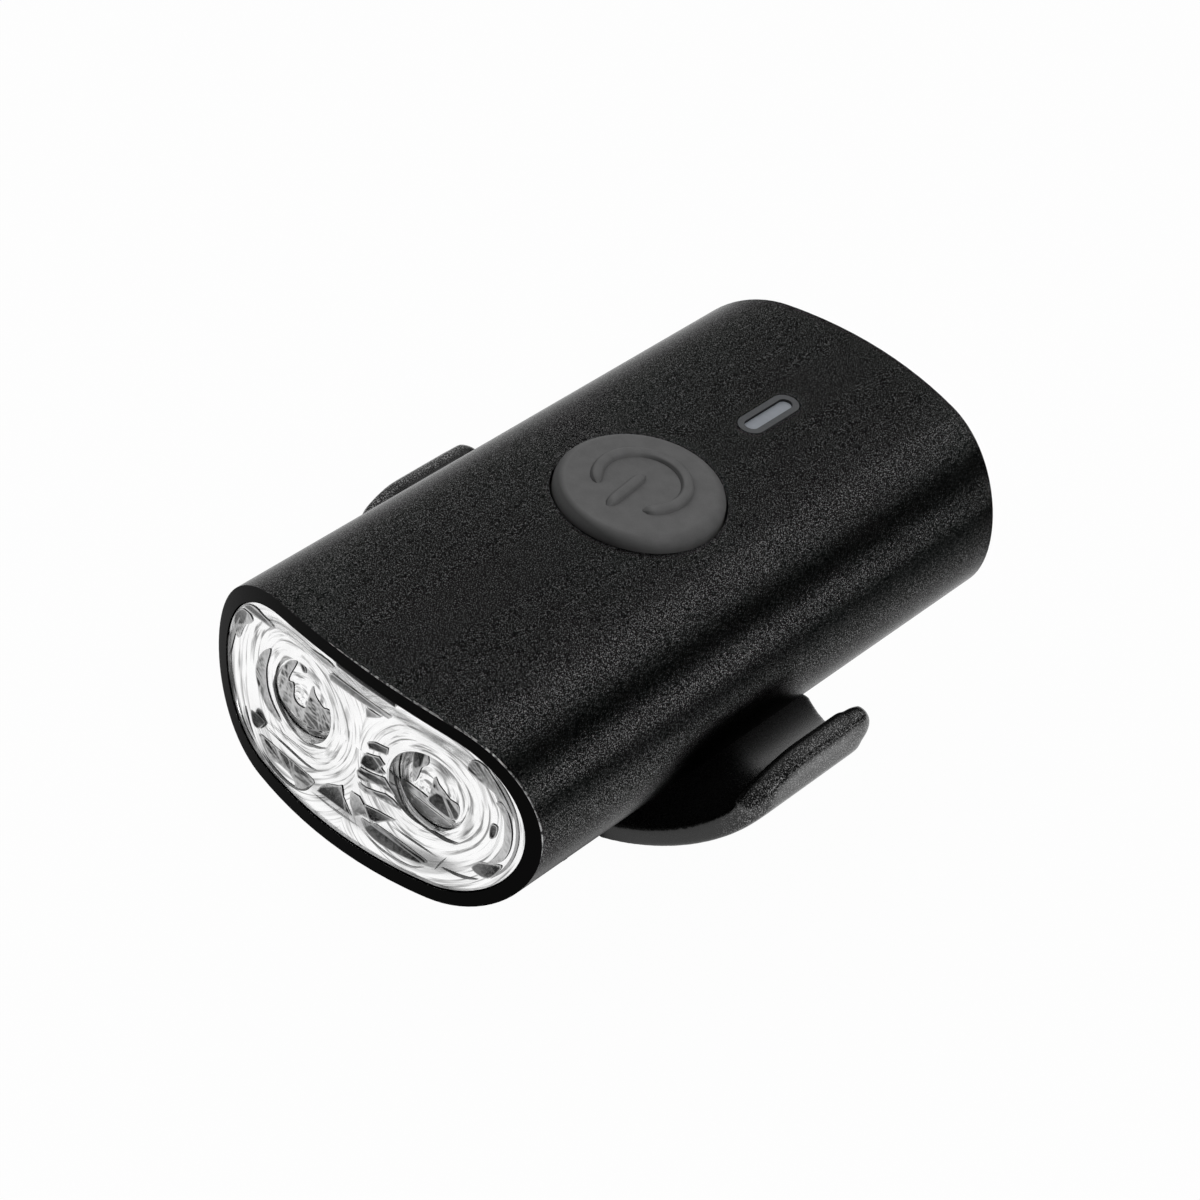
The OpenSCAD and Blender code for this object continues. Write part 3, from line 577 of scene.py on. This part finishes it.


# painted reflections, highlights and shade seen in the lens, each an outline on the sheet with its dark and light
# tones; those marked on a side lie on that dome
paintedReflectionsAndShade = [
    {"name": "upperLeftStripe", "tones": (0.15, 0.4), "lean": 3.1,
     "ring": [(-16.7, 6.4), (-15.9, 7.1), (-15, 7.25), (-14, 6.95), (-13.2, 6.8), (-12.4, 6.4), (-12.9, 6.2),
              (-14, 6.25), (-15, 6.2), (-15.9, 6.3)]},
    {"name": "upperLeftShade", "tones": (0.2, 0.46), "lean": 1.2,
     "ring": [(-16.6, 6.1), (-15.6, 6), (-15.2, 5.3), (-15.9, 4.6), (-16.3, 3.6), (-16.6, 2.4), (-17.2, 2.8),
              (-17.5, 4), (-17.3, 5.2)]},
    {"name": "leftArc", "tones": (0.08, 0.4), "lean": 0.4,
     "ring": [(-12.6, 3.7), (-13.3, 3.1), (-13.9, 1.8), (-14.1, 0.2), (-13.7, -1.3), (-12.9, -2.5), (-11.9, -3.5),
              (-10.3, -4.1), (-10.5, -3.5), (-11.4, -2.6), (-12.2, -1.4), (-12.6, -0.2), (-12.8, 1.2), (-12.7, 2.4)]},
    {"name": "leftDomeShade", "on": "left", "tones": (0.06, 0.4), "lean": 4.4,
     "ring": [(-11, 1.4), (-10.9, 2.4), (-10.5, 3.4), (-9.9, 4.2), (-9.2, 4.5), (-9.4, 3.6), (-9.8, 2.4), (-9.9, 1.6),
              (-9.3, 1.7), (-9.1, 0.9), (-9, 0.1), (-8.4, -0.4), (-7.5, -0.3), (-7.3, 0.4), (-7.2, 1.2), (-7.05, 2.2),
              (-6.85, 3), (-6.5, 2.2), (-5.8, 1.6), (-5.2, 1.3), (-4.6, 1.5), (-3.8, 1.3), (-3.65, 0.3), (-3.9, -0.6),
              (-4.5, -1.2), (-5.2, -1.6), (-6, -2), (-7.5, -2), (-9, -1.7), (-10.2, -1.3), (-10.9, -0.4)]},
    {"name": "leftDomeStreak", "on": "left", "tones": (0.15, 0.35), "lean": 0.0,
     "ring": [(-8.9, 4.6), (-8.2, 4.6), (-7.9, 3.9), (-8.3, 3.8), (-8.6, 4.2)]},
    {"name": "leftDomeLow", "on": "left", "tones": (0.28, 0.5), "lean": 3.6,
     "ring": [(-7, -2.5), (-6.2, -2.1), (-5, -1.7), (-5.4, -2.4), (-6.4, -2.8)]},
    {"name": "rightDomeTop", "on": "right", "tones": (0.15, 0.45), "lean": 4.2,
     "ring": [(6.1, 3.4), (6.3, 4.2), (7, 4.5), (7.7, 4.6), (8, 3.8), (7.8, 3.2), (7.3, 2.6), (7.1, 1.6), (6.9, 0.8),
              (6.6, 0.3), (6.4, 1), (6.2, 2.2)]},
    {"name": "rightDomeShade", "on": "right", "tones": (0.1, 0.32), "lean": 5.0,
     "ring": [(8.7, 0), (8.8, 1.2), (9, 2.7), (9.6, 2.1), (10.4, 1.7), (11.2, 1.3), (12.2, 1.3), (12.5, 0.4),
              (12.3, -0.5), (11.5, -0.9), (10, -0.9), (8.5, -0.6)]},
    {"name": "rightDomeBand", "on": "right", "tones": (0.22, 0.45), "lean": 4.7,
     "ring": [(5.2, -0.3), (6.4, -0.2), (8.5, -0.3), (8.6, -0.7), (10, -1), (12, -0.9), (12, -1.3), (10.5, -1.2),
              (8, -1.1), (6, -1), (5.4, -0.9)]},
    {"name": "rightDomeLow", "on": "right", "tones": (0.42, 0.72), "lean": 4.7,
     "ring": [(5.6, -1.1), (8, -1.2), (10.4, -1.3), (11.9, -1.4), (11.7, -1.9), (10.5, -2.4), (8.5, -2.7),
              (6.8, -2.3)]},
    {"name": "ribGap1", "sharp": True, "tones": (0.08, 0.4), "lean": 0.6,
     "ring": [(0.5, 1), (1.4, 1.6), (3.1, 2), (3.1, 1.1), (2, 0.8), (0.9, 0.4)]},
    {"name": "ribGap2", "sharp": True, "tones": (0.05, 0.35), "lean": 0.8,
     "ring": [(0.1, -2), (0.2, -1.2), (0.5, -0.4), (1.6, 0), (2.2, 0.3), (3, -0.2), (2.6, -0.8), (3.3, -1.2),
              (2.4, -1.7), (0.9, -2.1)]},
    {"name": "ribGap3", "sharp": True, "tones": (0.1, 0.42), "lean": 0.3,
     "ring": [(-0.2, -3.2), (0.1, -2.5), (1.4, -2.3), (3.2, -1.7), (4, -2.3), (4.9, -2.9), (3.6, -3), (2.2, -3.2),
              (1, -3.8), (0.1, -3.9)]},
    {"name": "ribGap4", "sharp": True, "tones": (0.12, 0.45), "lean": 0.3,
     "ring": [(0.1, -4.4), (1.2, -4.4), (2.4, -4), (3.6, -3.5), (4.6, -3.5), (6, -4), (4.5, -4.3), (2.6, -4.6),
              (1.2, -5.1), (0.4, -4.9)]},
    {"name": "leftPocket", "tones": (0.14, 0.5), "lean": 5.6,
     "ring": [(-12.7, -7.2), (-10.5, -7.3), (-8, -7.6), (-5.2, -8), (-5.4, -8.9), (-6.2, -9.9), (-7.2, -10.4),
              (-7.5, -9.8), (-8.3, -9.3), (-9.6, -9.1), (-10.8, -9.2), (-11.5, -8.3)]},
    {"name": "midFacet", "sharp": True, "tones": (0.24, 0.48), "lean": 1.4,
     "ring": [(-4.6, -9), (-4.1, -7.9), (-3.6, -7.3), (-2.2, -6.6), (-1.7, -6.2), (-1.3, -7.4), (-0.6, -8.2),
              (0.1, -9)]},
    {"name": "midLeaf", "sharp": True, "tones": (0.42, 0.75), "lean": 2.0,
     "ring": [(-0.6, -6.1), (0.6, -6), (1.6, -6.9), (2.2, -7.8), (1.2, -8), (0.4, -8.7), (-0.4, -7.6)]},
    {"name": "darkWedge", "sharp": True, "tones": (0.1, 0.42), "lean": 0.6,
     "ring": [(1.3, -6.5), (3, -6.1), (5.4, -5.7), (4, -6.8), (3.2, -7.6), (2.3, -7.8)]},
    {"name": "rightPocket", "tones": (0.12, 0.46), "lean": 4.0,
     "ring": [(1.2, -8.3), (2.4, -8.2), (3, -7.8), (5, -7.7), (8, -7.7), (9.7, -7.8), (9.2, -8.5), (8, -9), (6, -9.5),
              (4, -9.8), (2.4, -9.6), (1.6, -9)]},
    {"name": "blackNotch", "tones": (0.04, 0.4), "lean": 1.0,
     "ring": [(-14, -5), (-13.2, -5), (-12.1, -5.3), (-12.2, -5.8), (-12.8, -6.7), (-13.5, -6.6), (-13.9, -5.8)]},
    {"name": "leftStreak", "tones": (0.45, 0.7), "lean": 2.4,
     "ring": [(-15, -5.2), (-14.5, -6), (-13.8, -7.2), (-13.1, -8.3), (-14, -7.6), (-14.8, -6.4)]},
    {"name": "rightSpot", "tones": (0.1, 0.4), "lean": 1.0, "ring": [(16.2, 1.8), (17, 2), (16.9, 0.6), (16.3, 0.2)]},
    {"name": "rightEdge", "tones": (0.12, 0.55), "lean": 0.2,
     "ring": [(16.3, 4.7), (17, 4.2), (17.6, 3.2), (17.9, 1.5), (17.9, 0), (17.5, -1.4), (16.6, -2.8), (17.6, -2.2),
              (18.4, -1), (18.8, 0.6), (18.7, 2.4), (18.1, 4), (17.2, 5)]},
    {"name": "rightLeaf", "tones": (0.2, 0.46), "lean": 3.6,
     "ring": [(14.9, -4.7), (15.6, -3.5), (16.6, -2.9), (18.2, -2), (17.9, -3.2), (17, -4.6), (15.8, -5)]},
    {"name": "upperRightBand", "tones": (0.15, 0.5), "lean": 5.6,
     "ring": [(12.5, 6.1), (13, 7.6), (14.4, 7.8), (15.6, 7.1), (16.8, 6.2), (17.8, 5.2), (18.6, 4), (17.4, 5),
              (16, 5.6), (14.5, 5.7)]},
    {"name": "topShade", "sharp": True, "tones": (0.04, 0.12), "lean": 1.6,
     "ring": [(-4.8, 8), (3.3, 8), (3.2, 7.2), (-1, 7.05), (-4.4, 7.2)]},
    {"name": "topBar", "sharp": True, "tones": (0.3, 0.6), "lean": 4.7,
     "ring": [(-5.2, 5.6), (-4.8, 6), (-2, 5.9), (3, 5.9), (2.6, 5.4), (-1, 5.05), (-4.9, 5.1)]},
    {"name": "topWedge", "sharp": True, "tones": (0.45, 0.65), "lean": 1.2,
     "ring": [(-0.3, 4.9), (1.8, 5), (1, 4.4), (0, 3.8)]},
    {"name": "topFleck", "tones": (0.5, 0.75), "lean": 1.2, "ring": [(-8, 7), (-6, 6.5), (-4.6, 6.7), (-5.5, 7.1)]},
]

# thin painted lines of reflection and shade in the lens
strokes = [
    {"name": "leftInnerArc", "width": 0.26, "tone": 0.22,
     "line": [(-11.4, 2), (-11.6, 0.2), (-11.2, -1.2), (-10.4, -2.4), (-9.4, -3.2), (-8.2, -3.6)]},
    {"name": "leftLowArc", "width": 0.2, "tone": 0.4, "line": [(-8.6, -3.9), (-7, -4.2), (-5.4, -3.9), (-4.2, -3.2)]},
    {"name": "rightDomeArc", "width": 0.34, "tone": 0.16,
     "line": [(4, 0.6), (4.4, -0.6), (5, -1.8), (6, -3.1), (7.5, -3.8), (9.5, -3.9), (11.5, -3.7), (12.8, -3.2)]},
    {"name": "rightInnerArc", "width": 0.2, "tone": 0.45,
     "line": [(5, -0.8), (5.6, -1.8), (6.6, -2.8), (8, -3.3), (10, -3.4), (11.6, -2.9)]},
    {"name": "leftShelfLine", "width": 0.2, "tone": 0.25,
     "line": [(-11.9, -5.9), (-9, -6.4), (-6.5, -6.8), (-5.1, -6.7)]},
    {"name": "leftShelfEdge", "width": 0.14, "tone": 0.55, "line": [(-11.6, -5.1), (-8, -5.4), (-5, -5.6)]},
    {"name": "rightShelfLine", "width": 0.18, "tone": 0.3, "line": [(5, -6.7), (8, -6.6), (10.6, -6.45)]},
    {"name": "cornerLine", "width": 0.14, "tone": 0.4, "line": [(11.8, -5.8), (11.3, -6.8), (10.8, -8)]},
    {"name": "lowerLine", "width": 0.3, "tone": 0.3, "line": [(11.6, -7.2), (13, -6.9), (14.4, -6.4), (15.8, -5.6)]},
    {"name": "leftPocketEdge", "width": 0.3, "tone": 0.3,
     "line": [(-12, -9.1), (-10.8, -9.9), (-9, -10.5), (-7.6, -10.6), (-6.2, -10), (-5.3, -8.8)]},
    {"name": "rightPocketEdge", "width": 0.2, "tone": 0.5,
     "line": [(1.6, -9.7), (3.5, -10.3), (6, -10.3), (8, -9.8), (9.4, -8.8)]},
    {"name": "leftRimLine", "width": 0.5, "tone": 0.62,
     "line": [(-16.9, 4.6), (-17.5, 2), (-17.7, -0.5), (-17.2, -3), (-16.2, -5.4), (-14.8, -7.4), (-13, -9)]},
    {"name": "rightRimLine", "width": 0.3, "tone": 0.5,
     "line": [(15, 7.7), (17, 6.6), (18.6, 4.8), (19.4, 2.4), (19.3, 0), (18.6, -2.2), (17.4, -4.2)]},
    {"name": "lowRimLine", "width": 0.22, "tone": 0.6, "line": [(-5, -9.6), (-2, -9.7), (1, -9.6)]},
]


def paintedPatch(name, ring, tones, lean, on=None, fringe=0.3):
    flat, faces = fill(ring, step=0.22)
    made = piece(name, [drop(p.x, p.y, on) for p in flat], faces, paintedPatchLook(name, *tones, lean))
    # how far each corner lies inside the outline, for the painted bright fringe
    near = made.data.attributes.new("inner", "FLOAT", "POINT")
    ends = list(zip(ring, ring[1:] + ring[:1]))
    for i, p in enumerate(flat):
        gap = min((p - geometry.intersect_point_line(p, a, b)[0]).length for a, b in ends) if fringe else 1
        near.data[i].value = min(gap / fringe, 1) if fringe else 1


def makePaintedReflections():
    for one in paintedReflectionsAndShade:
        ring = [Vector(p) for p in one["ring"]] if one.get("sharp") else loop(one["ring"])
        paintedPatch(one["name"], ring, one["tones"], one["lean"], one.get("on"))
    for one in strokes:
        line = [Vector(p) for p in one["line"]]
        near, far = [], []
        for i, p in enumerate(line):
            run = (line[min(i + 1, len(line) - 1)] - line[max(i - 1, 0)]).normalized()
            across = Vector((-run.y, run.x)) * one["width"] / 2
            if i in (0, len(line) - 1):
                across *= 0.2
            near.append(p + across)
            far.append(p - across)
        paintedPatch(one["name"], loop(near + far[::-1]), (one["tone"], one["tone"] + 0.15), 0, fringe=0)


# bright bead along the body's front edge, only on the part where the plating catches the light: it stands in for a
# painted highlight, broken up at random
bead = {"radius": 0.09, "front": 54.6, "first": 19, "last": 51, "turns": 8}


def paintGlintBead(start, place):
    brokenGlint = grain(start, place, 0.5, 3).ramp([(0.36, 0.0), (0.62, 1.0)])
    return {"Base Color": brokenGlint.mix(0.02, 0.5), "Roughness": 0.22 + 0.1 * brokenGlint}


def makeBead():
    ring = oval(0)
    turns = bead["turns"]
    points = []
    for i in range(bead["first"], bead["last"] + 1):
        run = (Vector(ring[i + 1]) - Vector(ring[i - 1])).normalized()
        out = Vector((run.y, 0, -run.x))
        middle = Vector(onBow(*ring[i], bead["front"]))
        thick = bead["radius"] * min(1, 0.2 * min(i - bead["first"], bead["last"] - i) + 0.1)
        for j in range(turns):
            a = 2 * math.pi * j / turns
            points.append(middle + thick * (math.cos(a) * out + math.sin(a) * Vector((0, -1, 0))))
    faces = [(a, d, c, b) for a, b, c, d in weave(bead["last"] - bead["first"], turns)]
    piece("rimBead", points, faces, finish("glintEdge", paintGlintBead, Metallic=1.0))


makeCover()
makeTray()
makePaintedReflections()
makeBead()
print("lens pieces made")

# button symbol

symbol = {"middle": (-0.2, 1.0), "inner": 3.85, "outer": 5.25, "start": -50.0, "turn": 285.0,
          "bar": ((0.05, -4.7), (-0.7, 2.0)), "barWidth": 1.4, "rise": 0.4, "sink": 0.02,
          "arcSteps": 48, "barSteps": 12}


def makeSymbol():
    top = (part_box("power_button")[1].z - bodyMid.z) / mm - symbol["sink"]
    half = (symbol["outer"] - symbol["inner"]) / 2
    steps = symbol["arcSteps"]
    turns = [math.radians(symbol["start"] + symbol["turn"] * i / steps) for i in range(steps + 1)]
    reach = symbol["inner"] + half
    arcLine = [Vector(symbol["middle"]) + reach * Vector((math.cos(a), math.sin(a))) for a in turns]
    steps = symbol["barSteps"]
    barLine = [Vector(symbol["bar"][0]).lerp(Vector(symbol["bar"][1]), i / steps) for i in range(steps + 1)]
    side = [(1.0, 0.0), (0.8, 0.75), (0.5, 1.0), (-0.5, 1.0), (-0.8, 0.75), (-1.0, 0.0)]
    for name, line, wide in (("symbolArc", arcLine, half), ("symbolBar", barLine, symbol["barWidth"] / 2)):
        points, faces = [], []
        last = len(line) - 1
        for i, p in enumerate(line):
            run = (line[min(i + 1, last)] - line[max(i - 1, 0)]).normalized()
            taper = math.sqrt(1 - (1 - min(min(i, last - i) / 3, 1)) ** 2)
            for across, rise in side:
                spot = p + Vector((-run.y, run.x)) * wide * across * max(taper, 0.2)
                points.append((spot.x, spot.y, top + symbol["rise"] * rise * taper))
        wide = len(side)
        for i in range(last):
            for j in range(wide - 1):
                k = i * wide + j
                faces.append((k, k + 1, k + wide + 1, k + wide))
        piece(name, points, faces, buttonGrey, "button")


makeSymbol()
print("button symbol made")

# floor, light and camera

stage = {"floor": 3.0, "white": 0.975, "sky": [(0.33, 0.07), (0.6, 0.22), (0.8, 0.46), (0.9, 0.68)],
         "skyLean": (-0.5, 0, 0.125), "away": (1.52, 1.28, 0), "under": (28, 12, 0), "aim": (0, 0, 0.03)}
# each lamp's place, size and watts
lamps = {"keyLight": ((0.4, -0.25, 0.54), (0.15, 0.15), 1.0), "backLight": ((0.07, 0.53, 0.66), (0.5, 0.4), 0.42),
         "fillLight": ((-0.5, -0.4, 0.35), (0.4, 0.4), 0.4), "sideLight": ((0.45, 0.36, 0.14), (0.12, 0.2), 0.12)}


def makeStage():
    made = bpy.data.materials.new("paleFloor")
    made.use_nodes = True
    made.node_tree.nodes.clear()
    start = Wire(made.node_tree)
    path = "ShaderNodeLightPath"
    # reflections show it with a painted shadow under the light and painted dimming far behind on the right
    spot = start.node("ShaderNodeNewGeometry")
    away = start.node("ShaderNodeVectorMath", {"operation": "DOT_PRODUCT"}, {0: spot, 1: stage["away"]}, out=1)
    under = start.node("ShaderNodeVectorMath", {"operation": "LENGTH"}, {0: spot * Vector(stage["under"])}, out=1)
    near = away.ramp([(0.12, 1.0), (0.2, 0.4), (0.4, 0.06)]) * under.ramp([(0.37, 0.1), (0.57, 1.0)])
    direct = start.node(path, out="Is Camera Ray")
    seen = direct + start.node(path, out="Is Glossy Ray") + start.node(path, out="Is Transmission Ray")
    flat = start.node("ShaderNodeBsdfDiffuse", None, {"Color": (0.85, 0.85, 0.85, 1)})
    glow = start.node("ShaderNodeEmission", None, {"Color": direct.mix(near, 1), "Strength": 1.0})
    both = start.node("ShaderNodeMixShader", None, {0: seen * stage["white"], 1: flat, 2: glow})
    start.node("ShaderNodeOutputMaterial", None, {"Surface": both})
    size = stage["floor"]
    mesh = bpy.data.meshes.new("floor")
    mesh.from_pydata([(-size, -size, 0), (size, -size, 0), (size, size, 0), (-size, size, 0)], [], [(0, 1, 2, 3)])
    mesh.materials.append(made)
    floor = bpy.data.objects.new("floor", mesh)
    scene.collection.objects.link(floor)
    world = bpy.data.worlds.new("studio")
    world.use_nodes = True
    world.node_tree.nodes.clear()
    start = Wire(world.node_tree)
    # pale to the left, dim to the right
    sky = start.node("ShaderNodeTexCoord", out=0)
    pale = start.node("ShaderNodeVectorMath", {"operation": "DOT_PRODUCT"}, {0: sky, 1: stage["skyLean"]}, out=1) + 0.5
    soft = start.node("ShaderNodeBackground", None, {"Color": pale.ramp(stage["sky"]), "Strength": 1.0})
    white = start.node("ShaderNodeBackground", None, {"Color": (1, 1, 1, 1), "Strength": 1.0})
    both = start.node("ShaderNodeMixShader", None, {0: start.node(path, out="Is Camera Ray"), 1: soft, 2: white})
    start.node("ShaderNodeOutputWorld", None, {"Surface": both})
    scene.world = world


def lamp(name, place, size, watts):
    data = bpy.data.lights.new(name, "AREA")
    data.energy = watts
    data.shape = "RECTANGLE"
    data.size, data.size_y = size
    made = bpy.data.objects.new(name, data)
    made.location = place
    made.rotation_euler = (Vector(stage["aim"]) - Vector(place)).to_track_quat("-Z", "Y").to_euler()
    scene.collection.objects.link(made)


def makeCamera():
    a, e, r = (math.radians(view[key]) for key in ("azimuth", "elevation", "roll"))
    right = Vector((math.cos(a), math.sin(a), 0))
    back = Vector((math.sin(a) * math.cos(e), -math.cos(a) * math.cos(e), math.sin(e)))
    up = back.cross(right)
    camX = math.cos(r) * right + math.sin(r) * up
    camY = -math.sin(r) * right + math.cos(r) * up
    turn = Matrix((camX, camY, back)).transposed().to_4x4()
    data = bpy.data.cameras.new("camera")
    data.lens = view["lens"]
    data.sensor_width = 36
    data.clip_start, data.clip_end = 0.01, 20
    made = bpy.data.objects.new("camera", data)
    made.matrix_world = Matrix.Translation(at(*view["place"])) @ turn
    scene.collection.objects.link(made)
    scene.camera = made


makeStage()
for name, setup in lamps.items():
    lamp(name, *setup)
makeCamera()
scene.view_settings.view_transform = "Standard"
print("stage, lamps and camera in place")
